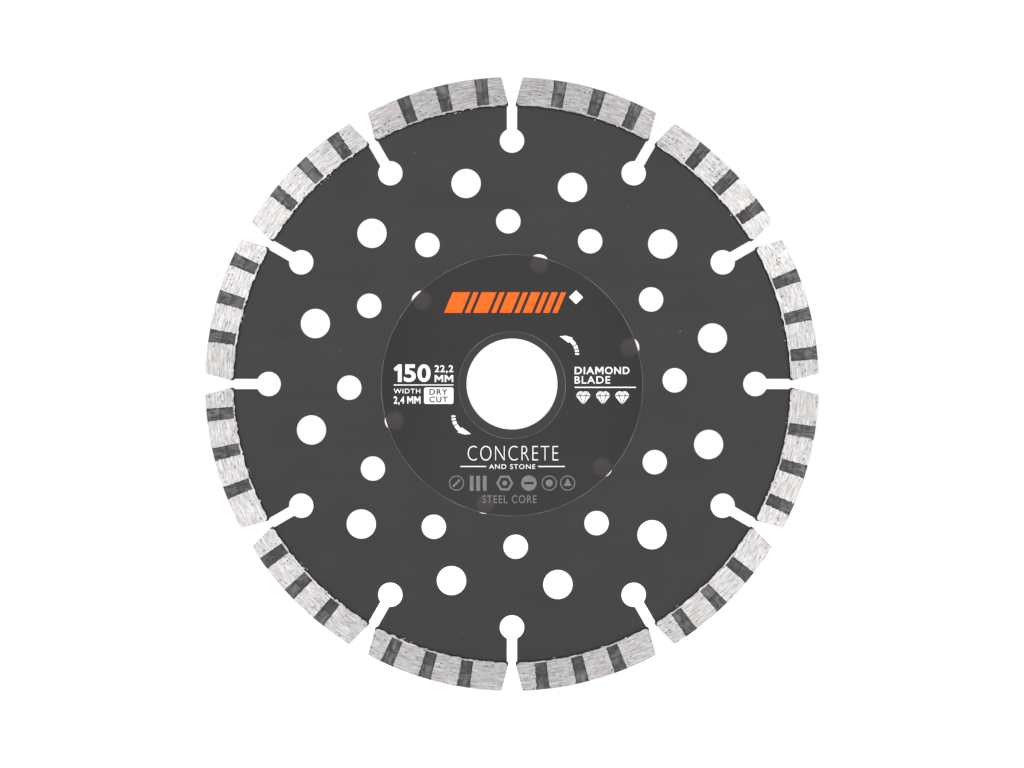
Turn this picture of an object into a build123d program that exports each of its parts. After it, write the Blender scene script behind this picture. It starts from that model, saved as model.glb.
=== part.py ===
from build123d import *
import os
from math import radians, tan

# Diamond blade for cutting concrete and masonry on an angle grinder or a small saw.
#
# A steel core carries twelve sintered segments, moulded round the tongues of its rim, and a round film
# label is stuck to its front face. Nothing on the blade moves against anything else: the whole of it
# turns with the machine's spindle.
#
# Frame: millimetres. The blade stands upright. The origin is the centre of the bore on the core's
# mid-plane, Y is the spin axis, the labelled front face looks along -Y, and +Z is up.
#
# Every piece is drawn face-on as seen from the front, with local X to the right, local Y up and local Z
# out of the front face. stand_up() then puts it in the frame. Angles run anticlockwise from local X.

# Blade
BLADE_RADIUS = 75.0
BORE_RADIUS = 22.23 / 2
SEGMENT_COUNT = 12
SEGMENT_PITCH = 360 / SEGMENT_COUNT

# Core: a disc, and beyond it a slightly thinner tongue for each segment to grip
CORE_RADIUS = 68.0
CORE_THICKNESS = 1.6
TONGUE_RADIUS = 71.6
TONGUE_THICKNESS = 1.5
TONGUE_HALF_LENGTH = 15.9
TONGUE_ROOT_OVERLAP = 0.5  # how far a tongue is drawn into the disc, so that they join as one solid

# Expansion slots between the segments, each ending in a round keyhole
SLOT_WIDTH = 2.5
KEYHOLE_DIAMETER = 6.0
KEYHOLE_DISTANCE = 59.5

# Rings of round holes: diameter, distance from the bore's axis, angle of the first hole, count
OUTER_HOLES = (7.2, 50.3, 12.9, 12)
MIDDLE_HOLES = (6.0, 39.8, 1.3, 12)
INNER_HOLES = (5.0, 30.0, 17.3, 6)

# Segments: a web as thick as the core, with a thicker ground cheek on each face
SEGMENT_THICKNESS = 2.4
SEGMENT_HALF_LENGTH = 16.85
CHEEK_CORNER_RADIUS = 1.1
WEB_INNER_RADIUS = 67.8
WEB_CORNER_CHAMFER = 0.5

# Grooves across each cheek, with radial sides; the cheek keeps a thin strip at its foot
GROOVE_COUNT = 3
GROOVE_PITCH = 7.5  # degrees
GROOVE_WIDTH = 2.35  # degrees
FIRST_GROOVE_ANGLE = -9.15  # degrees, from the middle of the segment
GROOVE_INNER_RADIUS = 68.45
GROOVE_OVERRUN = 1.0  # how far the cutter passes the rim and the face

# Label: a printed film ring, stuck on a little below the centre
LABEL_RADIUS = 32.0
LABEL_HOLE_RADIUS = 13.0
LABEL_THICKNESS = 0.13
LABEL_DROP = 0.3


def stand_up(shape, angle=0.0):
    """Put a face-on shape in the part's frame, turned anticlockwise by an angle."""
    return Plane.XZ * Rot(0, 0, angle) * shape


def slab(outline, thickness):
    """A plate of this outline, centred on the core's mid-plane."""
    return extrude(outline, amount=thickness / 2, both=True)


def hole_ring(diameter, distance, first_angle, count):
    """Discs for round holes spaced evenly round the bore's axis."""
    return [spot * Circle(diameter / 2) for spot in PolarLocations(distance, count, first_angle)]


def segment_angles():
    """The angle of each segment's middle, half a pitch on from a slot."""
    return [(i + 0.5) * SEGMENT_PITCH for i in range(SEGMENT_COUNT)]


def slot_outlines():
    """Keyholes, and the slots that run from them out past the rim."""
    keyhole = Circle(KEYHOLE_DIAMETER / 2)
    slot = Rectangle(BLADE_RADIUS - KEYHOLE_DISTANCE, SLOT_WIDTH, align=(Align.MIN, Align.CENTER))
    spots = PolarLocations(KEYHOLE_DISTANCE, SEGMENT_COUNT)
    return [spot * shape for spot in spots for shape in (keyhole, slot)]


def band(inner_radius, outer_radius, half_length):
    """Part of a ring centred on local X, with its two ends parallel to local X."""
    window = Rectangle(outer_radius, 2 * half_length, align=(Align.MIN, Align.CENTER))
    return (Circle(outer_radius) - Circle(inner_radius)) & window


def inner_corners(outline):
    """The two corners of a band that are nearest the bore."""
    return outline.vertices().sort_by(Axis.X)[:2]


def make_core():
    """The steel disc with its bore, holes and slots, and a tongue for each segment."""
    outline = Circle(CORE_RADIUS) - Circle(BORE_RADIUS)
    outline -= slot_outlines()
    for ring in (OUTER_HOLES, MIDDLE_HOLES, INNER_HOLES):
        outline -= hole_ring(*ring)
    core = slab(outline, CORE_THICKNESS)
    tongue_outline = band(CORE_RADIUS - TONGUE_ROOT_OVERLAP, TONGUE_RADIUS, TONGUE_HALF_LENGTH)
    tongue = slab(tongue_outline, TONGUE_THICKNESS)
    return core + [Rot(0, 0, angle) * tongue for angle in segment_angles()]


def sector(inner_radius, outer_radius, width):
    """Part of a ring centred on local X, with radial sides a given number of degrees apart."""
    reach = 2 * outer_radius
    spread = reach * tan(radians(width / 2))
    wedge = Polygon((0, 0), (reach, -spread), (reach, spread), align=None)
    return (Circle(outer_radius) - Circle(inner_radius)) & wedge


def groove_cutter(inner_radius, outer_radius, floor):
    """A block that cuts one stretch of a groove, from above the cheek down to a floor height."""
    height = SEGMENT_THICKNESS / 2 + GROOVE_OVERRUN - floor
    outline = sector(inner_radius, outer_radius, GROOVE_WIDTH)
    return Pos(0, 0, floor) * extrude(outline, amount=height)


def groove_cutters():
    """The front face's grooves, which lay the tongue bare and then run out level with the core's face."""
    over_tongue = groove_cutter(GROOVE_INNER_RADIUS, TONGUE_RADIUS, TONGUE_THICKNESS / 2)
    beyond_tongue = groove_cutter(TONGUE_RADIUS, BLADE_RADIUS + GROOVE_OVERRUN, CORE_THICKNESS / 2)
    angles = [FIRST_GROOVE_ANGLE + i * GROOVE_PITCH for i in range(GROOVE_COUNT)]
    return [Rot(0, 0, angle) * cutter for angle in angles for cutter in (over_tongue, beyond_tongue)]


def make_segment(core):
    """A segment whose middle lies on local X, hollowed by the core that it is moulded round."""
    web_outline = band(WEB_INNER_RADIUS, BLADE_RADIUS, SEGMENT_HALF_LENGTH)
    web_outline = chamfer(inner_corners(web_outline), WEB_CORNER_CHAMFER)
    cheek_outline = band(CORE_RADIUS, BLADE_RADIUS, SEGMENT_HALF_LENGTH)
    cheek_outline = fillet(inner_corners(cheek_outline), CHEEK_CORNER_RADIUS)
    segment = slab(web_outline, CORE_THICKNESS) + slab(cheek_outline, SEGMENT_THICKNESS)
    front = groove_cutters()
    back = [Rot(180, 0, 0) * cutter for cutter in front]
    return segment - front - back - Rot(0, 0, -SEGMENT_PITCH / 2) * core


def make_label():
    """The film ring on the core's front face."""
    outline = Circle(LABEL_RADIUS) - Circle(LABEL_HOLE_RADIUS)
    return Pos(0, -LABEL_DROP, CORE_THICKNESS / 2) * extrude(outline, amount=LABEL_THICKNESS)


def save(name, shape):
    """Write one piece to its own file, under its node's name."""
    piece = shape.solid()
    piece.label = name
    export_step(piece, f"parts/{name}.step")


def main():
    """Build every piece of the blade and write it out."""
    os.makedirs("parts", exist_ok=True)
    core = make_core()
    segment = make_segment(core)
    save("core", stand_up(core))
    for number, angle in enumerate(segment_angles(), start=1):
        save(f"segment_{number:02d}", stand_up(segment, angle))
    save("label", stand_up(make_label()))


main()
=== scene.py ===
import math
import random

import bmesh
import bpy
import numpy as np
from mathutils import Matrix, Vector


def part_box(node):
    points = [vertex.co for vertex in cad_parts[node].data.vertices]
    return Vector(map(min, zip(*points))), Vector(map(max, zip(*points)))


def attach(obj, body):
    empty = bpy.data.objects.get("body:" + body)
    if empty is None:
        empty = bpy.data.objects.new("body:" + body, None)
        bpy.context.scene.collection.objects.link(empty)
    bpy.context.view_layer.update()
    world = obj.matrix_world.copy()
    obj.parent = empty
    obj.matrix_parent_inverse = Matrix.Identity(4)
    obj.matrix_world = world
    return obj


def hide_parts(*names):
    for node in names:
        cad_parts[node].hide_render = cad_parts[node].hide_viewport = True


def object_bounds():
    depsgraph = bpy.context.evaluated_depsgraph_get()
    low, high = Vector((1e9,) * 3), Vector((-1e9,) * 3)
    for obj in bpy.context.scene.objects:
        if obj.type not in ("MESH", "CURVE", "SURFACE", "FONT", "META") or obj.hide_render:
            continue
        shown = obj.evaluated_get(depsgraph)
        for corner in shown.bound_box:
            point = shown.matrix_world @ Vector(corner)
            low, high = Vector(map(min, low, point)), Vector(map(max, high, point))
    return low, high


# The looks of a segmented diamond blade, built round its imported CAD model.
#
# The blade stands upright in the XZ plane and its labelled front face looks along -Y. Outlines are drawn
# face-on in millimetres as (x, z) points, seen from the front, and become meshes in metres.
# Angles are in degrees, anticlockwise from +X as seen from the front.

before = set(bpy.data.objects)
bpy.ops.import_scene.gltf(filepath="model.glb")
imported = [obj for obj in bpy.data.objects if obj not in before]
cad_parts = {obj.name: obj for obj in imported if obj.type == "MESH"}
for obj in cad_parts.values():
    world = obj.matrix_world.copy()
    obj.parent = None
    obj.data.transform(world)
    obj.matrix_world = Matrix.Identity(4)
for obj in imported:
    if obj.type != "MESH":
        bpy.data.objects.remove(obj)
CAD_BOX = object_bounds()
MM = 0.001
BODY = "root"


def box_mm(node):
    """A CAD node's lowest and highest corners, in millimetres."""
    return [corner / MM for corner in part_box(node)]


# Sizes that the CAD model gives
CORE_HALF = box_mm("core")[1].y
SEGMENT_HALF = box_mm("segment_01")[1].y
LABEL_LOW, LABEL_HIGH = box_mm("label")
LABEL_RADIUS = (LABEL_HIGH.x - LABEL_LOW.x) / 2
LABEL_CENTRE_Z = (LABEL_HIGH.z + LABEL_LOW.z) / 2
LABEL_FRONT = -LABEL_LOW.y
FLOOR_Z = CAD_BOX[0].z

# Sizes repeated from the CAD source, because the boxes can't give them
BLADE_RADIUS = 75.0
CORE_RADIUS = 68.0
BORE_RADIUS = 22.23 / 2
SEGMENT_COUNT = 12
SEGMENT_PITCH = 360 / SEGMENT_COUNT
SEGMENT_HALF_LENGTH = 16.85
TONGUE_RADIUS = 71.6
TONGUE_HALF = 0.75
TONGUE_HALF_LENGTH = 15.9
TONGUE_ROOT_OVERLAP = 0.5
SLOT_HALF_WIDTH = 1.25
KEYHOLE_RADIUS = 3.0
KEYHOLE_DISTANCE = 59.5
HOLE_RINGS = ((3.6, 50.3, 12.9, 12), (3.0, 39.8, 1.3, 12), (2.5, 30.0, 17.3, 6))
GROOVE_ANGLES = (-9.15, -1.65, 5.85)
GROOVE_WIDTH = 2.35
GROOVE_INNER_RADIUS = 68.45
LABEL_HOLE_RADIUS = 13.0
CHEEK_CORNER_RADIUS = 1.1
WEB_INNER_RADIUS = 67.8
WEB_CORNER_CHAMFER = 0.5

# Details of the core and segments that the CAD model leaves out
CORE_EDGE = 0.12
TONGUE_EDGE = 0.06
FACE_DRAW = 0.04  # how far a cheek is drawn in at its face
ROUGH_FOOT = (0.085, 6)  # how far a segment's foot strays, and its count of lumps of flash
CLEAN_FOOT = (0.055, 2)
FOOT_WAVE = 4.5  # the longest wave along a foot
FOOT_START = 0.25  # degrees from a cheek's rounded corner to its foot's first point
CALM_END = 0.6  # degrees over which a foot grows rough
FLASH_MARGIN = 3.0  # the length at each end of a foot that has no flash
SIDE_ROUGHNESS = 0.035
SIDE_WAVE = 1.7
SIDE_CONTRAST = (0.6, 1.0, 1.0, 2.2)  # how rough the sides of grooves are against each other
CORNER_WEAR = 0.4
WEAR_DEPTH = 1.3
MOULD_GAP = 0.01  # between a segment's middle layer and the core
TIP_GAP = 0.03  # degrees between that layer's tips and the sides of the slots
RIM_STEP = 0.03  # how far the middle layer's rim lies below the cheeks' rim

# Details of the label
FILM_THICKNESS = LABEL_FRONT - CORE_HALF
FILM_EDGE = 0.13
FILM_BORDER = 0.4  # from the film's edges to the first of its evenly spaced rings
DENT_DEPTH = 0.12
WAVE_HEIGHT = 0.003
INK_THICKNESS = 0.02
LETTER_SPACING = 1.15

# Fineness of the meshes
ARC_STEP = 0.5  # degrees between the points of a long arc
BORE_POINTS = 144
HOLE_POINTS = 72
CORNER_POINTS = 8
SIDE_POINTS = 26
GROOVE_END_POINTS = 14
FOOT_POINTS = 230
LABEL_SPOKES = 480
LABEL_RINGS = 56

# Seeds: a step from one segment to the next, and from one rough part of a segment to another
SEGMENT_SEED = 11
CRUMB_SEED = 2
BACK_SEED = 5
FLASH_SEED = 250
SIDE_SEED = 500
WEAR_SEED = 750

# Stage, in metres. The white surroundings fade upwards between two heights on a unit sphere.
FLOOR_REACH = 20.0
VIEW_WIDTH = 0.2504
CAMERA_LENS = 135.0
HORIZON_LIGHT = 1.05
ZENITH_LIGHT = 0.22
FADE_HEIGHTS = (0.15, 0.5)

# Softboxes: name, place, width and height in metres, and power in watts
SOFTBOXES = (
    ("left_softbox", (-0.76, -0.75, 0.57), 0.65, 0.9, 6.8),
    ("right_softbox", (0.76, -0.75, 0.57), 0.65, 0.9, 6.8),
    ("back_softbox", (0.6, 0.9, 0.5), 0.7, 0.7, 4.0),
)


# ---------------------------------------------------------------- outlines


def polar(angle, radius):
    """The point at an angle and a distance from the bore's axis."""
    return radius * math.cos(math.radians(angle)), radius * math.sin(math.radians(angle))


def turned(points, angle):
    """An outline turned anticlockwise about the bore's axis."""
    cosine = math.cos(math.radians(angle))
    sine = math.sin(math.radians(angle))
    return [(x * cosine - z * sine, x * sine + z * cosine) for x, z in points]


def shifted(points, dx, dz):
    """An outline moved sideways and up."""
    return [(x + dx, z + dz) for x, z in points]


def scaled(points, factor):
    """An outline shrunk about its own middle."""
    middle_x = sum(x for x, z in points) / len(points)
    middle_z = sum(z for x, z in points) / len(points)
    return [(middle_x + (x - middle_x) * factor, middle_z + (z - middle_z) * factor) for x, z in points]


def arc(radius, start, end, step, centre=(0.0, 0.0)):
    """Points along an arc from one angle to another, both ends included."""
    count = max(2, round(abs(end - start) / step) + 1)
    spots = [polar(start + (end - start) * i / (count - 1), radius) for i in range(count)]
    return shifted(spots, *centre)


def circle(radius, count, centre=(0.0, 0.0)):
    """A closed circle as evenly spaced points."""
    return shifted([polar(360 * i / count, radius) for i in range(count)], *centre)


def half_angle(half_length, radius):
    """Half the angle that a chord spans, from half its length and its circle's radius."""
    return math.degrees(math.asin(half_length / radius))


def inset(points, amount):
    """A closed anticlockwise outline with each point moved inwards by an amount."""
    moved = []
    for i, (x, z) in enumerate(points):
        before = Vector(points[i - 1])
        after = Vector(points[(i + 1) % len(points)])
        here = Vector((x, z))
        along = (here - before).normalized() + (after - here).normalized()
        if along.length < 1e-6:
            moved.append((x, z))
            continue
        along.normalize()
        moved.append((x - along.y * amount, z + along.x * amount))
    return moved


# ---------------------------------------------------------------- meshes


def new_piece(name, mesh):
    """A mesh as a piece of the object that rides on the blade."""
    piece = bpy.data.objects.new(name, mesh)
    bpy.context.scene.collection.objects.link(piece)
    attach(piece, BODY)
    return piece


def add_prism(bm, low, high, y_low, y_high):
    """A closed solid between two outlines with the same number of points, at two depths in millimetres."""
    bottom = [bm.verts.new((x * MM, y_low * MM, z * MM)) for x, z in low]
    top = [bm.verts.new((x * MM, y_high * MM, z * MM)) for x, z in high]
    bm.faces.new(top)
    bm.faces.new(bottom[::-1])
    count = len(low)
    for i in range(count):
        j = (i + 1) % count
        bm.faces.new((bottom[i], bottom[j], top[j], top[i]))


def mesh_of(bm, name):
    """The finished mesh of a bmesh, with its normals outwards."""
    bmesh.ops.recalc_face_normals(bm, faces=bm.faces)
    mesh = bpy.data.meshes.new(name)
    bm.to_mesh(mesh)
    bm.free()
    return mesh


def baked_mesh(source, name):
    """A copy of an object's mesh with its modifiers applied. The object is removed."""
    graph = bpy.context.evaluated_depsgraph_get()
    mesh = bpy.data.meshes.new_from_object(source.evaluated_get(graph))
    mesh.name = name
    bpy.data.objects.remove(source)
    return mesh


def loose_object(data):
    """A mesh or curve linked into the scene as a tool for building another."""
    made = bpy.data.objects.new("tool", data)
    bpy.context.scene.collection.objects.link(made)
    return made


def joined(meshes, name):
    """The union of closed meshes as one closed mesh."""
    base = loose_object(meshes[0])
    tools = [loose_object(mesh) for mesh in meshes[1:]]
    for tool in tools:
        cut = base.modifiers.new("union", "BOOLEAN")
        cut.operation = "UNION"
        cut.solver = "EXACT"
        cut.object = tool
    mesh = baked_mesh(base, name)
    for tool in tools:
        bpy.data.objects.remove(tool)
    return mesh


def smooth_below(mesh, angle):
    """Smooth shading, with edges sharper than an angle left crisp."""
    mesh.shade_smooth()
    mesh.set_sharp_from_angle(angle=math.radians(angle))


def filled_curve(name, loops):
    """Closed outlines as a flat filled curve. An outline inside another is a hole in it."""
    curve = bpy.data.curves.new(name, "CURVE")
    curve.dimensions = "2D"
    curve.fill_mode = "BOTH"
    for loop in loops:
        spline = curve.splines.new("POLY")
        spline.points.add(len(loop) - 1)
        for point, (x, z) in zip(spline.points, loop):
            point.co = (x * MM, z * MM, 0.0, 1.0)
        spline.use_cyclic_u = True
    return curve


def plate_mesh(name, loops, half_thickness, edge):
    """A flat plate with rounded edges. The first loop is its outline and the others are its holes."""
    curve = filled_curve(name, loops)
    curve.extrude = (half_thickness - edge) * MM
    curve.bevel_depth = edge * MM
    curve.bevel_resolution = 2
    curve.offset = -edge * MM
    mesh = baked_mesh(loose_object(curve), name)
    bm = bmesh.new()
    bm.from_mesh(mesh)
    bpy.data.meshes.remove(mesh)
    bmesh.ops.remove_doubles(bm, verts=bm.verts, dist=1e-7)
    for vert in bm.verts:
        x, y, z = vert.co
        vert.co = (x, -z, y)
    return mesh_of(bm, name)


# ---------------------------------------------------------------- core


def core_outline():
    """The disc's edge, in and out of each slot and round its keyhole."""
    mouth = half_angle(SLOT_HALF_WIDTH, CORE_RADIUS)
    throat = half_angle(SLOT_HALF_WIDTH, KEYHOLE_RADIUS)
    outline = []
    for i in range(SEGMENT_COUNT):
        angle = i * SEGMENT_PITCH
        keyhole = arc(KEYHOLE_RADIUS, -throat, throat - 360, 5, (KEYHOLE_DISTANCE, 0.0))
        outline += turned(keyhole, angle)
        outline += arc(CORE_RADIUS, angle + mouth, angle + SEGMENT_PITCH - mouth, ARC_STEP)
    return outline


def tongue_outline():
    """The tongue under a segment whose middle is on +X."""
    inner = CORE_RADIUS - TONGUE_ROOT_OVERLAP
    inner_end = half_angle(TONGUE_HALF_LENGTH, inner)
    outer_end = half_angle(TONGUE_HALF_LENGTH, TONGUE_RADIUS)
    return arc(TONGUE_RADIUS, -outer_end, outer_end, ARC_STEP) + arc(inner, inner_end, -inner_end, 2)


def build_core(looks):
    """The steel disc with rounded edges, and the tongues. Its looks are for the disc and the tongues."""
    holes = [circle(BORE_RADIUS, BORE_POINTS)]
    for radius, distance, first, count in HOLE_RINGS:
        for i in range(count):
            holes.append(circle(radius, HOLE_POINTS, polar(first + 360 * i / count, distance)))
    disc = plate_mesh("disc", [core_outline(), *holes], CORE_HALF, CORE_EDGE)
    tongues = []
    for i in range(SEGMENT_COUNT):
        outline = turned(tongue_outline(), (i + 0.5) * SEGMENT_PITCH)
        tongues.append(plate_mesh("tongue", [outline], TONGUE_HALF, TONGUE_EDGE))
    mesh = joined([disc, *tongues], "core_steel")
    mesh.materials.clear()
    for look in looks:
        mesh.materials.append(look)
    for face in mesh.polygons:
        on_tongue = math.hypot(face.center.x, face.center.z) > (CORE_RADIUS + 0.02) * MM
        face.material_index = 1 if on_tongue else 0
    smooth_below(mesh, 40)
    piece = new_piece("core_steel", mesh)
    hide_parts("core")


# ---------------------------------------------------------------- segments


def ragged(seed, amplitude, longest):
    """A rough edge, as a function from the distance along it to how far it strays, in millimetres.
    It adds up waves, each about half as long as the last and a little lower."""
    rng = random.Random(seed)
    waves = []
    for octave in range(6):
        length = longest / 1.9**octave * rng.uniform(0.85, 1.15)
        waves.append((amplitude * 0.72**octave, 2 * math.pi / length, rng.uniform(0, 2 * math.pi)))
    return lambda along: sum(size * math.sin(rate * along + phase) for size, rate, phase in waves)


def rounded_corner(before, corner, after, radius, count):
    """Points on the arc that rounds a corner between two straight runs."""
    corner = Vector(corner)
    to_before = (Vector(before) - corner).normalized()
    to_after = (Vector(after) - corner).normalized()
    half = to_before.angle(to_after) / 2
    centre = corner + (to_before + to_after).normalized() * radius / math.sin(half)
    start = corner + to_before * radius / math.tan(half) - centre
    end = corner + to_after * radius / math.tan(half) - centre
    turn = start.angle_signed(end)
    points = []
    for i in range(count + 1):
        spoke = start.copy()
        spoke.rotate(Matrix.Rotation(-turn * i / count, 2))
        points.append(tuple(centre + spoke))
    return points


def flash(seed, count, reach):
    """Lumps squeezed out along an edge, as a function from the distance along it, in millimetres."""
    rng = random.Random(seed)
    lumps = []
    for _ in range(count):
        lumps.append((rng.uniform(-reach, reach), rng.uniform(0.12, 0.32), rng.uniform(0.12, 0.4)))
    return lambda along: sum(high * math.exp(-(((along - spot) / wide) ** 2)) for spot, high, wide in lumps)


def groove_outline(angle, stray, wear):
    """A groove's two sides and its end, rough all along, with the corners at the rim worn back."""
    to_degrees = math.degrees(1 / CORE_RADIUS)
    left, right = angle - GROOVE_WIDTH / 2, angle + GROOVE_WIDTH / 2
    sides = []
    for side, sign in ((left, -1), (right, 1)):
        chip = wear.uniform(0.0, CORNER_WEAR)
        rough = wear.choice(SIDE_CONTRAST)
        points = []
        for r in np.linspace(BLADE_RADIUS, GROOVE_INNER_RADIUS, SIDE_POINTS)[1:-1]:
            worn = chip * max(0.0, 1 - (BLADE_RADIUS - r) / WEAR_DEPTH) ** 2
            shift = rough * stray(r + side) + sign * worn
            points.append(polar(side + shift * to_degrees, r))
        sides.append(points)
    spots = np.linspace(left, right, GROOVE_END_POINTS)
    return sides[0] + [polar(spot, GROOVE_INNER_RADIUS + stray(spot)) for spot in spots] + sides[1][::-1]


def foot_outline(seed, roughness, lump_count, last):
    """The ragged foot of a cheek, out to an angle of last on each side of its middle."""
    stray = ragged(seed, roughness, FOOT_WAVE)
    lumps = flash(seed + FLASH_SEED, lump_count, SEGMENT_HALF_LENGTH - FLASH_MARGIN)
    foot = []
    for spot in np.linspace(last, -last, FOOT_POINTS):
        calm = min(1.0, (last - abs(spot)) / CALM_END)
        along = math.radians(spot) * CORE_RADIUS
        foot.append(polar(spot, CORE_RADIUS + calm * stray(along) - lumps(along)))
    return foot


def comb_outline(groove_angles, seed, foot_roughness, lump_count):
    """A cheek of a segment whose middle is on +X: blocks between grooves, joined by a strip at the foot."""
    rim_end = half_angle(SEGMENT_HALF_LENGTH, BLADE_RADIUS)
    side_stray = ragged(seed + SIDE_SEED, SIDE_ROUGHNESS, SIDE_WAVE)
    wear = random.Random(seed + WEAR_SEED)
    outline = []
    start = -rim_end
    for angle in sorted(groove_angles):
        outline += arc(BLADE_RADIUS, start, angle - GROOVE_WIDTH / 2, ARC_STEP)
        outline += groove_outline(angle, side_stray, wear)
        start = angle + GROOVE_WIDTH / 2
    outline += arc(BLADE_RADIUS, start, rim_end, ARC_STEP)
    corner = (math.sqrt(CORE_RADIUS**2 - SEGMENT_HALF_LENGTH**2), SEGMENT_HALF_LENGTH)
    foot_end = half_angle(SEGMENT_HALF_LENGTH - CHEEK_CORNER_RADIUS, CORE_RADIUS)
    at_foot = polar(foot_end, CORE_RADIUS)
    upper = rounded_corner(outline[-1], corner, at_foot, CHEEK_CORNER_RADIUS, CORNER_POINTS)
    foot = foot_outline(seed, foot_roughness, lump_count, foot_end - FOOT_START)
    lower = [(x, -z) for x, z in reversed(upper)]
    return outline + upper + foot + lower


def web_outline():
    """The middle layer of a segment: an arch over the tongue, with a tip at each foot in the slot."""
    end = SEGMENT_HALF_LENGTH - MOULD_GAP
    rim_end = half_angle(end, BLADE_RADIUS)
    root = TONGUE_HALF_LENGTH + MOULD_GAP
    tongue_end = half_angle(root, TONGUE_RADIUS + MOULD_GAP)
    slot_side = SEGMENT_PITCH / 2 - half_angle(SLOT_HALF_WIDTH, CORE_RADIUS)
    core_edge = CORE_RADIUS + MOULD_GAP
    corner = math.sqrt(WEB_INNER_RADIUS**2 - end**2)
    side = [
        (corner + WEB_CORNER_CHAMFER, end),
        (corner, end - WEB_CORNER_CHAMFER + MOULD_GAP),
        polar(slot_side + TIP_GAP, core_edge),
        (math.sqrt(core_edge**2 - root**2), root),
    ]
    mirrored = [(x, -z) for x, z in reversed(side)]
    rim = arc(BLADE_RADIUS - RIM_STEP, -rim_end, rim_end, ARC_STEP)
    return rim + side + arc(TONGUE_RADIUS + MOULD_GAP, tongue_end, -tongue_end, ARC_STEP) + mirrored


def cheek_mesh(outline, side):
    """One ground cheek, drawn in a little towards its face. side is -1 at the front and 1 at the back."""
    bm = bmesh.new()
    add_prism(bm, outline, inset(outline, FACE_DRAW), side * TONGUE_HALF, side * SEGMENT_HALF)
    return mesh_of(bm, "cheek")


def crumb_meshes(angle, seed, count):
    """Broken bits of flash on the core's front face, just inside the foot of a segment."""
    rng = random.Random(seed)
    cluster = rng.uniform(-9, 9)
    meshes = []
    for _ in range(count):
        size = rng.uniform(0.08, 0.18)
        spots = [polar(45 * corner, size * rng.uniform(0.6, 1.3)) for corner in range(8)]
        centre = polar(cluster + rng.uniform(-1.4, 1.4), CORE_RADIUS - rng.uniform(0.3, 0.55))
        outline = turned(shifted(spots, *centre), angle)
        bm = bmesh.new()
        add_prism(bm, outline, scaled(outline, 0.75), -TONGUE_HALF, -CORE_HALF - size)
        meshes.append(mesh_of(bm, "crumb"))
    return meshes


def segment_look(face):
    """The number of a face's look on a segment: 0 for ground, 1 for painted and 2 for the rim."""
    on_flat = abs(face.normal.y) > 0.5
    if on_flat and abs(face.center.y) / MM > CORE_HALF + 0.05:
        return 0
    at_rim = math.hypot(face.center.x, face.center.z) / MM > BLADE_RADIUS - 0.1
    return 2 if at_rim and not on_flat else 1


def build_segment(index, looks):
    """One sintered segment. Its looks are for the ground faces, the painted sides and the rim.
    The segments on the left have rougher feet, as if from a more worn mould."""
    angle = (index + 0.5) * SEGMENT_PITCH
    seed = SEGMENT_SEED * index + 1
    foot = ROUGH_FOOT if 90 < angle < 270 else CLEAN_FOOT
    front = turned(comb_outline(GROOVE_ANGLES, seed, *foot), angle)
    back = turned(comb_outline([-a for a in GROOVE_ANGLES], seed + BACK_SEED, *foot), angle)
    web = turned(web_outline(), angle)
    bm = bmesh.new()
    add_prism(bm, web, web, CORE_HALF, -CORE_HALF)
    crumbs = crumb_meshes(angle, seed + CRUMB_SEED, foot[1])
    mesh = joined([mesh_of(bm, "web"), cheek_mesh(front, -1), cheek_mesh(back, 1), *crumbs], "segment")
    for look in looks:
        mesh.materials.append(look)
    for face in mesh.polygons:
        face.material_index = segment_look(face)
    smooth_below(mesh, 35)
    number = index + 1
    piece = new_piece(f"segment_{number:02d}_matrix", mesh)
    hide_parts(f"segment_{number:02d}")


# ---------------------------------------------------------------- label


def hole_cover(x, z):
    """How far over one of the holes that the label hides a point lies: 0 off them and 1 at a centre."""
    radius, distance, first, count = HOLE_RINGS[-1]
    nearest = min(math.dist((x, z), polar(first + 360 * i / count, distance)) for i in range(count))
    return max(0.0, 1 - (nearest / radius) ** 2)


def film_height(x, z):
    """How far in front of the core's mid-plane the gently rippled film lies, in millimetres."""
    wave = math.sin(0.31 * x + 0.6) * math.sin(0.27 * z + 1.9) + 0.6 * math.sin(0.43 * z - 0.35 * x)
    return LABEL_FRONT + WAVE_HEIGHT * wave - DENT_DEPTH * hole_cover(x, z) ** 1.5


def film_loop(bm, layer, radius, depth):
    """A ring of points at a depth below the film's surface, each with its hole_cover stored in a layer."""
    loop = []
    for x, z in shifted(circle(radius, LABEL_SPOKES), 0.0, LABEL_CENTRE_Z):
        vert = bm.verts.new((x * MM, (depth - film_height(x, z)) * MM, z * MM))
        vert[layer] = hole_cover(x, z)
        loop.append(vert)
    return loop


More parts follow.
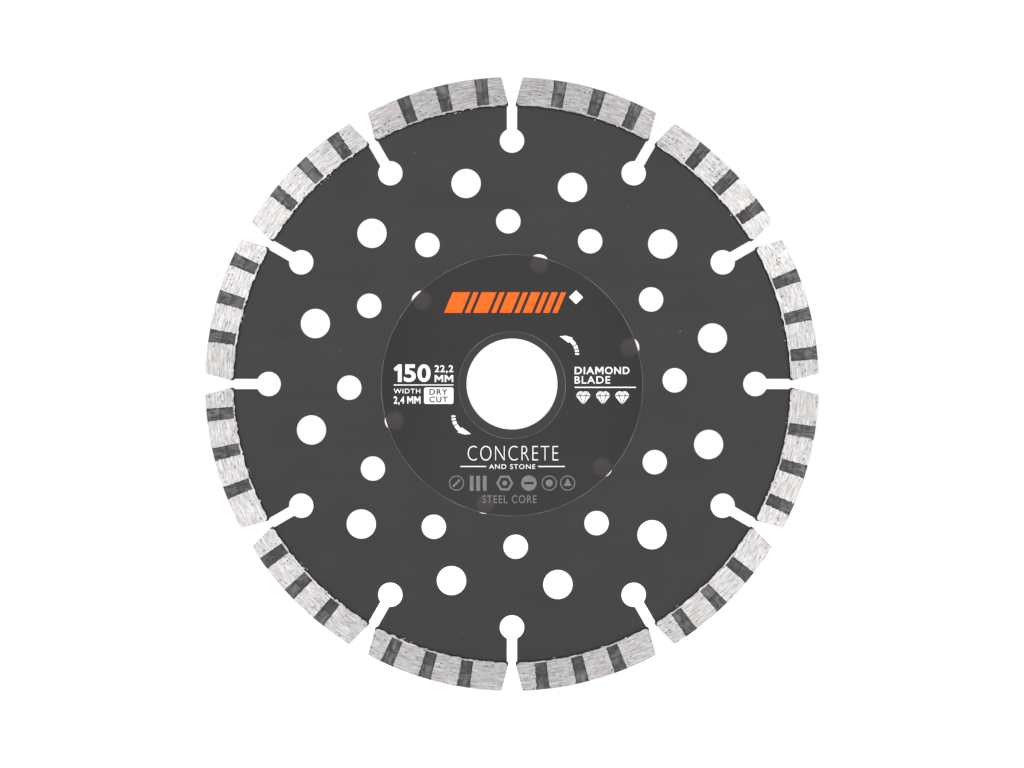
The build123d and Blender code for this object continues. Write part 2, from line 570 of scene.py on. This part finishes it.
def build_label(looks):
    """The film ring, dished where it spans a hole. Its looks are for its face, its cut edges and its back."""
    middle = np.linspace(LABEL_HOLE_RADIUS + FILM_BORDER, LABEL_RADIUS - FILM_BORDER, LABEL_RINGS)
    rings = [LABEL_HOLE_RADIUS, LABEL_HOLE_RADIUS + FILM_EDGE, *middle]
    rings += [LABEL_RADIUS - FILM_EDGE, LABEL_RADIUS]
    bm = bmesh.new()
    layer = bm.verts.layers.float.new("hole_cover")
    front = []
    back = []
    for radius in rings:
        cut = 0.6 * FILM_THICKNESS if radius in (rings[0], rings[-1]) else 0.0
        front.append(film_loop(bm, layer, radius, cut))
        back.append(film_loop(bm, layer, radius, FILM_THICKNESS))
    loops = front + back[::-1]
    edges = (0, len(rings) - 2, len(rings) - 1, len(loops) - 1)
    for ring, (inner, outer) in enumerate(zip(loops, loops[1:] + loops[:1])):
        look = 0 if ring < len(rings) else 2
        if ring in edges:
            look = 1
        for i in range(LABEL_SPOKES):
            j = (i + 1) % LABEL_SPOKES
            face = bm.faces.new((inner[i], outer[i], outer[j], inner[j]))
            face.material_index = look
    mesh = mesh_of(bm, "label")
    for look in looks:
        mesh.materials.append(look)
    smooth_below(mesh, 25)
    piece = new_piece("label_film", mesh)
    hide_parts("label")


# ---------------------------------------------------------------- print


def bar(left, right, low, high):
    """A straight bar, with points close enough along it to follow the film."""
    spots = np.linspace(left, right, max(2, round((right - left) / 2) + 1))
    return [(x, low) for x in spots] + [(x, high) for x in spots[::-1]]


def pill(left, right, low, high, radius):
    """A bar with rounded corners."""
    corners = [
        (right - radius, low + radius),
        (right - radius, high - radius),
        (left + radius, high - radius),
        (left + radius, low + radius),
    ]
    outline = []
    for turn, centre in enumerate(corners):
        outline += arc(radius, 90 * turn - 90, 90 * turn, 18, centre)
    return outline


def slanted_bar(left, width, low, high, lean):
    """A bar that leans to the right."""
    return [(left, low), (left + width, low), (left + width + lean, high), (left + lean, high)]


def ring(radius, width, centre):
    """Two circles, the outer and inner edge of a ring."""
    return [circle(radius, 48, centre), circle(radius - width, 48, centre)]


def gem(centre):
    """A cut stone seen from the side, as one small outline for each facet."""
    top = [(-1.15, 1.7), (0.0, 1.7), (1.15, 1.7)]
    girdle = [(-1.9, 0.6), (-0.75, 0.6), (0.75, 0.6), (1.9, 0.6)]
    culet = (0.0, -1.75)
    facets = [
        (girdle[0], girdle[1], top[0]),
        (girdle[1], top[1], top[0]),
        (girdle[1], girdle[2], top[1]),
        (girdle[2], top[2], top[1]),
        (girdle[2], girdle[3], top[2]),
    ]
    facets += [(culet, right, left) for left, right in zip(girdle, girdle[1:])]
    return [shifted(scaled(facet, 0.80), *centre) for facet in facets]


def letter_m(left, right, low, high):
    """A heavy capital M that fills a box."""
    shape = [(0.0, 0.0), (0.0, 1.0), (0.22, 1.0), (0.5, 0.58), (0.78, 1.0), (1.0, 1.0), (1.0, 0.0)]
    shape += [(0.81, 0.0), (0.81, 0.62), (0.5, 0.2), (0.19, 0.62), (0.19, 0.0)]
    return [(left + (right - left) * x, low + (high - low) * z) for x, z in shape]


def curved_arrow(centre, turn):
    """A quarter-round arrow that points anticlockwise, with a dashed tail."""
    radius, tail, head = 4.3, 0.48, 0.8
    tip = [polar(50, radius + head), polar(71, radius + 0.42), polar(90, radius), polar(50, radius - head)]
    outlines = [arc(radius - tail, 50, 30, 4) + arc(radius + tail, 30, 50, 4) + tip]
    for start, end in ((-2.9, 2.9), (6.4, 12.9), (16.0, 27.0)):
        outlines.append(arc(radius - tail, start, end, 2) + arc(radius + tail, end, start, 2))
    return [shifted(turned(outline, turn), *centre) for outline in outlines]


def ink_mesh(name, outlines):
    """Closed thin shapes on the film. An outline inside another is a hole in it."""
    curve = filled_curve(name, outlines)
    curve.extrude = MM
    return on_film(baked_mesh(loose_object(curve), name))


def lettering(text, left, right, low, high, weight, lift=1):
    """Letters fitted to a box on the film. weight thickens their strokes, and lift counts layers of ink."""
    curve = bpy.data.curves.new(text, "FONT")
    curve.body = text
    curve.offset = weight
    curve.space_character = LETTER_SPACING
    curve.extrude = 0.5
    curve.resolution_u = 6
    mesh = baked_mesh(loose_object(curve), text)
    xs = [vert.co.x for vert in mesh.vertices]
    ys = [vert.co.y for vert in mesh.vertices]
    for vert in mesh.vertices:
        x = left + (right - left) * (vert.co.x - min(xs)) / (max(xs) - min(xs))
        z = low + (high - low) * (vert.co.y - min(ys)) / (max(ys) - min(ys))
        vert.co = (x * MM, z * MM, vert.co.z)
    return on_film(mesh, lift)


def on_film(flat, layers=1):
    """A flat mesh of extruded shapes, stood up as layers of ink on the film. The flat one is removed."""
    bm = bmesh.new()
    bm.from_mesh(flat)
    bpy.data.meshes.remove(flat)
    bmesh.ops.remove_doubles(bm, verts=bm.verts, dist=2e-6)
    for vert in bm.verts:
        x, z, depth = vert.co
        lift = layers * INK_THICKNESS if depth > 0 else -0.5 * FILM_THICKNESS
        vert.co = (x, -(film_height(x / MM, z / MM) + lift) * MM, z)
    return mesh_of(bm, "ink")


def ink_piece(name, meshes, look):
    """Everything printed in one ink."""
    bm = bmesh.new()
    for mesh in meshes:
        bm.from_mesh(mesh)
        bpy.data.meshes.remove(mesh)
    mesh = mesh_of(bm, name)
    mesh.materials.append(look)
    new_piece(name, mesh)


def build_emblem(look):
    """Leaning stripes that grow thinner to the right."""
    stripes = []
    spot = -16.6
    for width in (4.3, 1.2, 3.6, 1.2, 2.9, 1.2, 2.2, 1.2, 1.5, 1.2):
        stripes.append(slanted_bar(spot, width, 17.4, 22.4, 2.1))
        spot += width + 0.8
    ink_piece("print_orange", [ink_mesh("emblem", stripes)], look)


def build_white_print(look):
    """The blade's size, its kind, what it cuts, the arrows and the gems."""
    figure_one = [(-28.9, 3.8), (-28.5, 3.1), (-27.9, 3.5), (-27.9, 0.5)]
    figure_one += [(-26.95, 0.5), (-26.95, 4.8), (-27.75, 4.8)]
    lozenge = [(13.9, 21.2), (15.65, 19.5), (17.4, 21.2), (15.65, 22.9)]
    marks = [
        figure_one,
        lozenge,
        bar(-28.9, -14.3, -0.36, -0.12),
        bar(15.3, 30.3, -0.96, -0.68),
        pill(-21.5, -14.3, -4.85, -0.85, 0.45),
        bar(-12.6, -6.3, -20.28, -20.02),
        bar(6.4, 12.9, -20.28, -20.02),
    ]
    marks += [letter_m(x, x + 2.1, 0.5, 2.2) for x in (-18.9, -16.45)]
    marks += [letter_m(x, x + 1.5, -4.8, -3.0) for x in (-25.6, -23.85)]
    marks.append(letter_m(20.35, 22.35, 2.4, 4.2))
    for x in (17.4, 22.2, 26.9):
        marks += gem((x, -3.45))
    marks += curved_arrow((11.6, 7.36), 0) + curved_arrow((-10.0, -7.9), 180)
    words = [
        lettering("5", -26.4, -23.5, 0.5, 4.8, 0.03),
        lettering("0", -23.1, -19.9, 0.5, 4.8, 0.028),
        lettering("22,2", -18.9, -14.35, 2.6, 4.6, 0.02),
        lettering("WIDTH", -28.9, -22.4, -2.3, -1.15, 0.005),
        lettering("2,4", -28.9, -26.3, -5.15, -3.0, 0.02),
        lettering("DIA", 15.3, 20.1, 2.4, 4.2, 0.02),
        lettering("OND", 22.7, 28.7, 2.4, 4.2, 0.02),
        lettering("BLADE", 15.3, 24.0, 0.1, 1.9, 0.01),
        lettering("CONCRETE", -10.8, 11.3, -18.7, -15.1, -0.022),
        lettering("AND STONE", -5.6, 5.7, -20.75, -19.6, 0.0),
    ]
    ink_piece("print_white", [ink_mesh("marks", marks), *words], look)


def build_dark_print(look):
    """The words on the white box."""
    words = [
        lettering("DRY", -20.2, -15.7, -2.65, -1.2, 0.025, lift=2),
        lettering("CUT", -20.2, -15.7, -4.5, -3.05, 0.025, lift=2),
    ]
    ink_piece("print_dark", words, look)


def build_symbols(look):
    """A row of plain round, barred and six-sided symbols with a line of small print under it."""
    middle = -24.2
    symbols = []
    for x in (-13.55, 9.1, 13.6):
        symbols += ring(1.85, 0.24, (x, middle))
    symbols.append([(-14.6, -24.9), (-14.2, -25.2), (-12.5, -23.5), (-12.9, -23.2)])
    symbols += [bar(x, x + 0.9, -26.1, -22.4) for x in (-10.3, -8.7, -7.1)]
    for radius in (2.1, 1.5):
        symbols.append(circle(radius, 6, (-1.77, middle)))
    symbols.append(circle(0.6, 24, (-1.77, middle)))
    symbols.append(circle(1.9, 48, (4.14, middle)))
    symbols.append(bar(3.0, 5.3, middle - 0.3, middle + 0.3))
    symbols.append(circle(0.85, 32, (9.1, middle)))
    symbols.append([(12.6, -24.9), (14.6, -24.9), (13.6, -23.0)])
    line = lettering("STEEL CORE", -7.2, 6.0, -29.1, -27.2, 0.0)
    ink_piece("print_grey", [ink_mesh("symbols", symbols), line], look)


# ---------------------------------------------------------------- materials


class Look:
    """A material under construction. Each call adds a node and gives its output."""

    def __init__(self, name):
        self.material = bpy.data.materials.new(name)
        self.material.use_nodes = True
        self.tree = self.material.node_tree
        self.shader = self.tree.nodes["Principled BSDF"]
        self.place = self.node("ShaderNodeTexCoord").outputs["Object"]

    def node(self, kind, inputs=None, **settings):
        """Add a node, with values or links for its inputs."""
        made = self.tree.nodes.new(kind)
        for key, value in settings.items():
            setattr(made, key, value)
        for key, value in (inputs or {}).items():
            self.feed(made.inputs[key], value)
        return made

    def feed(self, socket, value):
        """Link an output to a socket, or set the socket's own value."""
        if isinstance(value, bpy.types.NodeSocket):
            self.tree.links.new(value, socket)
        else:
            socket.default_value = value

    def shade(self, **inputs):
        """Feed the shader's sockets, with underscores for the spaces in their names."""
        for key, value in inputs.items():
            self.feed(self.shader.inputs[key.replace("_", " ")], value)

    def math(self, operation, a, b=0.0):
        """One sum on two values."""
        return self.node("ShaderNodeMath", {0: a, 1: b}, operation=operation).outputs[0]

    def noise(self, scale, place=None, detail=3.0, roughness=0.55):
        """Cloudy noise from about 0.3 to 0.7. scale is in cells per metre."""
        inputs = {"Vector": place or self.place, "Scale": scale, "Detail": detail, "Roughness": roughness}
        return self.node("ShaderNodeTexNoise", inputs).outputs["Fac"]

    def cells(self, scale, place=None, dimensions="3D"):
        """A Voronoi texture: the distance to the nearest cell centre, and a random colour for each cell."""
        inputs = {"Vector": place or self.place, "Scale": scale}
        made = self.node("ShaderNodeTexVoronoi", inputs, voronoi_dimensions=dimensions)
        return made.outputs["Distance"], made.outputs["Color"]

    def ramp(self, value, low, high, to_low=0.0, to_high=1.0):
        """The value, stretched from low..high to to_low..to_high and held at its ends."""
        inputs = {0: value, 1: low, 2: high, 3: to_low, 4: to_high}
        return self.node("ShaderNodeMapRange", inputs, clamp=True).outputs[0]

    def mix(self, factor, a, b):
        """A blend of two colours, given as outputs or as RGB."""
        made = self.node("ShaderNodeMix", data_type="RGBA")
        self.feed(made.inputs[0], factor)
        for socket, colour in ((made.inputs[6], a), (made.inputs[7], b)):
            self.feed(socket, (*colour, 1.0) if isinstance(colour, tuple) else colour)
        return made.outputs[2]

    def stretched(self, place, scale):
        """Coordinates squeezed along each axis."""
        return self.node("ShaderNodeMapping", {"Vector": place, "Scale": scale}).outputs[0]

    def bump(self, height, distance, strength=1.0, under=None):
        """A normal pushed by a height, up to a distance in metres."""
        inputs = {"Height": height, "Distance": distance, "Strength": strength}
        if under is not None:
            inputs["Normal"] = under
        return self.node("ShaderNodeBump", inputs).outputs[0]

    def outward(self):
        """The way straight out from the bore's axis, as long as the distance from it."""
        parts = self.node("ShaderNodeSeparateXYZ", {0: self.place}).outputs
        return self.node("ShaderNodeCombineXYZ", {0: parts[0], 1: 0.0, 2: parts[2]}).outputs[0]

    def radius(self):
        """The distance from the bore's axis, in metres."""
        return self.node("ShaderNodeVectorMath", {0: self.outward()}, operation="LENGTH").outputs["Value"]

    def round_the_bore(self):
        """Coordinates that follow the rim: out, along and across."""
        parts = self.node("ShaderNodeSeparateXYZ", {0: self.place}).outputs
        angle = self.math("ARCTAN2", parts[2], parts[0])
        along = self.math("MULTIPLY", angle, BLADE_RADIUS * MM)
        return self.node("ShaderNodeCombineXYZ", {0: self.radius(), 1: along, 2: parts[1]}).outputs[0]


def core_paint():
    """Matt dark grey paint with fine grain, faint clouds, specks and rubs, and painted shade in a band beside
    the segments' feet.
    """
    look = Look("core_paint")
    clouds = look.noise(60, detail=4)
    grain = look.noise(2600, detail=2)
    colour = look.mix(look.ramp(clouds, 0.3, 0.7), (0.0165, 0.0165, 0.017), (0.0215, 0.0215, 0.022))
    distance, cell = look.cells(170)
    chosen = look.ramp(cell, 0.80, 0.86)
    speck = look.math("MULTIPLY", look.ramp(distance, 0.03, 0.05, 1.0, 0.0), chosen)
    colour = look.mix(look.math("MULTIPLY", speck, 0.5), colour, (0.16, 0.155, 0.15))
    rubs = look.noise(900, look.stretched(look.place, (0.35, 1.0, 1.0)), detail=5, roughness=0.7)
    patch = look.ramp(look.noise(45, detail=1), 0.60, 0.70)
    rub = look.math("MULTIPLY", look.ramp(rubs, 0.62, 0.70), patch)
    colour = look.mix(look.math("MULTIPLY", rub, 0.12), colour, (0.12, 0.12, 0.12))
    # Painted shade: a soft dark band just inside the segments' feet, where they stand on the core.
    uneven = look.math("ADD", look.radius(), look.math("MULTIPLY", look.noise(700), 0.0004))
    painted_foot_shade = look.ramp(uneven, (CORE_RADIUS - 0.4) * MM, (CORE_RADIUS - 0.1) * MM, 0.0, 0.85)
    colour = look.mix(painted_foot_shade, colour, (0.006, 0.006, 0.006))
    look.shade(Base_Color=colour, Roughness=look.ramp(clouds, 0.3, 0.7, 0.56, 0.64), Specular_IOR_Level=0.4)
    fine = look.bump(grain, 0.00002, 0.6)
    look.shade(Normal=look.bump(look.noise(900, detail=2), 0.00004, 0.4, fine))
    return look.material


def ground_metal():
    """Sintered metal ground along the rim: fine streaks, rows of dark pores and faint warm and cool tints."""
    look = Look("ground_metal")
    place = look.round_the_bore()
    streaks = look.noise(1.0, look.stretched(place, (4400, 230, 900)), detail=4, roughness=0.6)
    sweeps = look.noise(1.0, look.stretched(place, (1700, 900, 900)), detail=4, roughness=0.6)
    tint = look.noise(1.0, look.stretched(place, (300, 110, 110)), detail=2)
    tone = look.math("ADD", look.math("MULTIPLY", streaks, 0.7), look.math("MULTIPLY", sweeps, 0.3))
    colour = look.mix(look.ramp(tone, 0.38, 0.60), (0.34, 0.33, 0.33), (0.74, 0.725, 0.72))
    colour = look.mix(look.ramp(tint, 0.52, 0.72, 0.0, 0.3), colour, (0.78, 0.66, 0.66))
    colour = look.mix(look.ramp(tint, 0.48, 0.3, 0.0, 0.2), colour, (0.62, 0.67, 0.65))
    scores = look.noise(1.0, look.stretched(place, (3600, 420, 700)), detail=3, roughness=0.6)
    colour = look.mix(look.ramp(scores, 0.36, 0.29, 0.0, 0.6), colour, (0.14, 0.13, 0.13))
    distance, cell = look.cells(1.0, look.stretched(place, (1400, 750, 1)), "2D")
    chosen = look.ramp(cell, 0.50, 0.52)
    rows = look.noise(1.0, look.stretched(place, (800, 160, 300)), detail=1)
    chosen = look.math("MULTIPLY", chosen, look.ramp(rows, 0.54, 0.60))
    ragged_edge = look.math("MULTIPLY", look.math("SUBTRACT", look.noise(3500), 0.5), 0.9)
    distance = look.math("ADD", distance, ragged_edge)
    pore = look.math("MULTIPLY", look.ramp(distance, 0.10, 0.30, 1.0, 0.0), chosen)
    colour = look.mix(look.math("MULTIPLY", pore, 0.85), colour, (0.06, 0.056, 0.056))
    rough = look.ramp(tone, 0.40, 0.60, 0.46, 0.36)
    look.shade(Base_Color=colour, Metallic=1.0, Anisotropic=0.9, Roughness=rough, Tangent=look.outward())
    dips = look.math("SUBTRACT", tone, look.math("MULTIPLY", pore, 1.5))
    look.shade(Normal=look.bump(dips, 0.00001, 0.7))
    return look.material


def groove_paint():
    """Thin paint over the moulded metal: brownish over the tongue, lighter and streaked beyond it."""
    look = Look("groove_paint")
    place = look.round_the_bore()
    radius = look.radius()
    streaks = look.noise(1.0, look.stretched(place, (300, 2600, 1500)), detail=4, roughness=0.6)
    blotches = look.noise(900, detail=4, roughness=0.65)
    patches = look.noise(170, detail=1)
    smears = look.noise(1.0, look.stretched(place, (420, 700, 500)), detail=3)
    inner = look.mix(look.ramp(blotches, 0.36, 0.64), (0.027, 0.026, 0.025), (0.073, 0.070, 0.067))
    mottle = look.math("ADD", look.math("MULTIPLY", streaks, 0.6), look.math("MULTIPLY", blotches, 0.4))
    outer = look.mix(look.ramp(mottle, 0.42, 0.60), (0.026, 0.026, 0.026), (0.136, 0.134, 0.132))
    edge = TONGUE_RADIUS * MM
    colour = look.mix(look.ramp(radius, edge - 0.0005, edge + 0.0005), inner, outer)
    colour = look.mix(look.ramp(smears, 0.52, 0.68, 0.0, 0.6), colour, (0.19, 0.185, 0.18))
    colour = look.mix(look.ramp(patches, 0.58, 0.68, 0.0, 0.4), colour, (0.17, 0.165, 0.16))
    thick_paint = look.ramp(look.noise(85, detail=0), 0.48, 0.34, 0.0, 0.55)
    colour = look.mix(thick_paint, colour, (0.028, 0.028, 0.028))
    # Painted shade: a dark line along the tongue's edge, where the matrix steps up from it; it also stands
    # for the joint there.
    wander = look.math("MULTIPLY", look.math("SUBTRACT", blotches, 0.5), 0.0012)
    off_edge = look.math("ABSOLUTE", look.math("SUBTRACT", look.math("ADD", radius, wander), edge))
    colour = look.mix(look.ramp(off_edge, 0.0, 0.0005, 0.55, 0.0), colour, (0.03, 0.03, 0.03))
    tips = look.ramp(radius, (GROOVE_INNER_RADIUS + 0.15) * MM, (GROOVE_INNER_RADIUS - 0.15) * MM)
    colour = look.mix(tips, colour, (0.028, 0.028, 0.028))
    look.shade(Base_Color=colour, Metallic=0.25, Roughness=look.ramp(streaks, 0.3, 0.7, 0.6, 0.45))
    look.shade(Normal=look.bump(look.math("ADD", streaks, blotches), 0.00004, 0.6))
    return look.material


def rim_metal():
    """The dressed rim, with grains of diamond bare in a dull matrix."""
    look = Look("rim_metal")
    distance, cell = look.cells(2600)
    rough_grain = look.noise(3500, detail=4, roughness=0.7)
    colour = look.mix(look.ramp(rough_grain, 0.3, 0.7), (0.20, 0.19, 0.18), (0.42, 0.40, 0.38))
    grain = look.math("MULTIPLY", look.ramp(distance, 0.25, 0.35, 1.0, 0.0), look.ramp(cell, 0.6, 0.65))
    colour = look.mix(look.math("MULTIPLY", grain, 0.6), colour, (0.44, 0.41, 0.31))
    look.shade(Base_Color=colour, Metallic=0.7, Roughness=look.ramp(rough_grain, 0.3, 0.7, 0.65, 0.45))
    height = look.math("ADD", rough_grain, grain)
    look.shade(Normal=look.bump(height, 0.00008, 0.8))
    return look.material


def film_face():
    """Charcoal film with a soft gloss, with painted shade making it darker towards its sides, and browner
    where it spans a hole.
    """
    look = Look("film_face")
    clouds = look.noise(40, detail=3)
    colour = look.mix(look.ramp(clouds, 0.3, 0.7), (0.008, 0.008, 0.0085), (0.0115, 0.0115, 0.012))
    # Painted shade: the film grows darker towards its left and right sides.
    across = look.math("ABSOLUTE", look.node("ShaderNodeSeparateXYZ", {0: look.place}).outputs[0])
    colour = look.mix(look.ramp(across, 0.018, 0.031, 0.0, 0.8), colour, (0.004, 0.004, 0.004))
    cover = look.node("ShaderNodeAttribute", attribute_name="hole_cover").outputs["Fac"]
    colour = look.mix(look.ramp(cover, 0.0, 0.5, 0.0, 0.8), colour, (0.034, 0.027, 0.025))
    dust = look.noise(1800, look.stretched(look.place, (1.0, 1.0, 0.45)), detail=5, roughness=0.75)
    colour = look.mix(look.ramp(dust, 0.66, 0.74, 0.0, 0.12), colour, (0.2, 0.2, 0.2))
    look.shade(Base_Color=colour, Roughness=look.ramp(look.noise(300, detail=3), 0.3, 0.7, 0.30, 0.40))
    look.shade(Specular_IOR_Level=0.42)
    ripples = look.bump(look.noise(110, detail=2), 0.00003, 0.5)
    look.shade(Normal=look.bump(look.noise(3000, detail=2), 0.000005, 0.5, ripples))
    return look.material


def film_edge():
    """The cut edge of the film, where its pale base shows."""
    look = Look("film_edge")
    patchy = look.noise(120, detail=4)
    colour = look.mix(look.ramp(patchy, 0.35, 0.65), (0.035, 0.035, 0.035), (0.15, 0.15, 0.15))
    look.shade(Base_Color=colour, Roughness=look.ramp(patchy, 0.3, 0.7, 0.4, 0.5))
    look.shade(Normal=look.bump(patchy, 0.00001, 0.5))
    return look.material


def film_back():
    """The film's gummed underside, seen through the core's holes from behind."""
    look = Look("film_back")
    smears = look.noise(900, detail=4, roughness=0.65)
    colour = look.mix(look.ramp(smears, 0.35, 0.65), (0.30, 0.29, 0.26), (0.42, 0.41, 0.37))
    look.shade(Base_Color=colour, Roughness=look.ramp(smears, 0.3, 0.7, 0.35, 0.55))
    look.shade(Normal=look.bump(smears, 0.00002, 0.5))
    return look.material


def ink(name, colour, faded):
    """Printing ink: nearly even, with faint mottling and a slight sheen."""
    look = Look(name)
    mottle = look.noise(1600, detail=4, roughness=0.6)
    look.shade(Base_Color=look.mix(look.ramp(mottle, 0.45, 0.75), colour, faded), Specular_IOR_Level=0.25)
    look.shade(Roughness=look.ramp(mottle, 0.3, 0.7, 0.38, 0.5))
    look.shade(Normal=look.bump(mottle, 0.000004, 0.5))
    return look.material


def floor_paper():
    """Seamless white studio paper."""
    look = Look("floor_paper")
    fibres = look.noise(40, detail=4)
    look.shade(Base_Color=look.mix(look.ramp(fibres, 0.3, 0.7), (0.86, 0.86, 0.86), (0.9, 0.9, 0.9)))
    look.shade(Roughness=look.ramp(fibres, 0.3, 0.7, 0.75, 0.85))
    look.shade(Emission_Color=(1.0, 1.0, 1.0, 1.0), Emission_Strength=0.7)
    return look.material


# ---------------------------------------------------------------- stage


def area_light(name, place, width, height, power):
    """A soft oblong light that faces the blade."""
    light = bpy.data.lights.new(name, "AREA")
    light.shape = "RECTANGLE"
    light.size = width
    light.size_y = height
    light.energy = power
    lamp = bpy.data.objects.new(name, light)
    lamp.location = place
    lamp.rotation_euler = (-Vector(place)).to_track_quat("-Z", "Y").to_euler()
    bpy.context.scene.collection.objects.link(lamp)


def build_floor():
    """A wide floor of white paper that the blade stands on."""
    bm = bmesh.new()
    bmesh.ops.create_grid(bm, x_segments=8, y_segments=8, size=FLOOR_REACH)
    mesh = bpy.data.meshes.new("floor")
    bm.to_mesh(mesh)
    bm.free()
    mesh.materials.append(floor_paper())
    floor = bpy.data.objects.new("floor", mesh)
    floor.location.z = FLOOR_Z
    bpy.context.scene.collection.objects.link(floor)


def build_surroundings():
    """White surroundings, brightest at the horizon."""
    world = bpy.data.worlds.new("studio")
    world.use_nodes = True
    sky = world.node_tree
    way = sky.nodes.new("ShaderNodeTexCoord").outputs["Generated"]
    height = sky.nodes.new("ShaderNodeSeparateXYZ")
    fade = sky.nodes.new("ShaderNodeMapRange")
    for socket, value in zip(fade.inputs[1:5], (*FADE_HEIGHTS, HORIZON_LIGHT, ZENITH_LIGHT)):
        socket.default_value = value
    sky.links.new(way, height.inputs[0])
    sky.links.new(height.outputs[2], fade.inputs[0])
    background = sky.nodes["Background"]
    sky.links.new(fade.outputs[0], background.inputs["Strength"])
    background.inputs["Color"].default_value = (1.0, 1.0, 1.0, 1.0)
    bpy.context.scene.world = world


def build_camera():
    """A long lens straight in front of the blade."""
    lens = bpy.data.cameras.new("camera")
    lens.lens = CAMERA_LENS
    camera = bpy.data.objects.new("camera", lens)
    camera.location = (0.0, -VIEW_WIDTH * CAMERA_LENS / lens.sensor_width, 0.0)
    camera.rotation_euler = (math.radians(90), 0.0, 0.0)
    bpy.context.scene.collection.objects.link(camera)
    bpy.context.scene.camera = camera


thin_paint = groove_paint()
build_core((core_paint(), thin_paint))
segment_looks = (ground_metal(), thin_paint, rim_metal())
for index in range(SEGMENT_COUNT):
    build_segment(index, segment_looks)
build_label((film_face(), film_edge(), film_back()))
build_emblem(ink("orange_ink", (0.86, 0.12, 0.003), (0.75, 0.10, 0.004)))
build_white_print(ink("white_ink", (0.86, 0.86, 0.86), (0.74, 0.74, 0.74)))
build_dark_print(ink("dark_ink", (0.03, 0.03, 0.03), (0.05, 0.05, 0.05)))
build_symbols(ink("grey_ink", (0.17, 0.17, 0.172), (0.13, 0.13, 0.13)))
build_floor()
build_surroundings()
for softbox in SOFTBOXES:
    area_light(*softbox)
build_camera()
bpy.context.scene.view_settings.view_transform = "Standard"
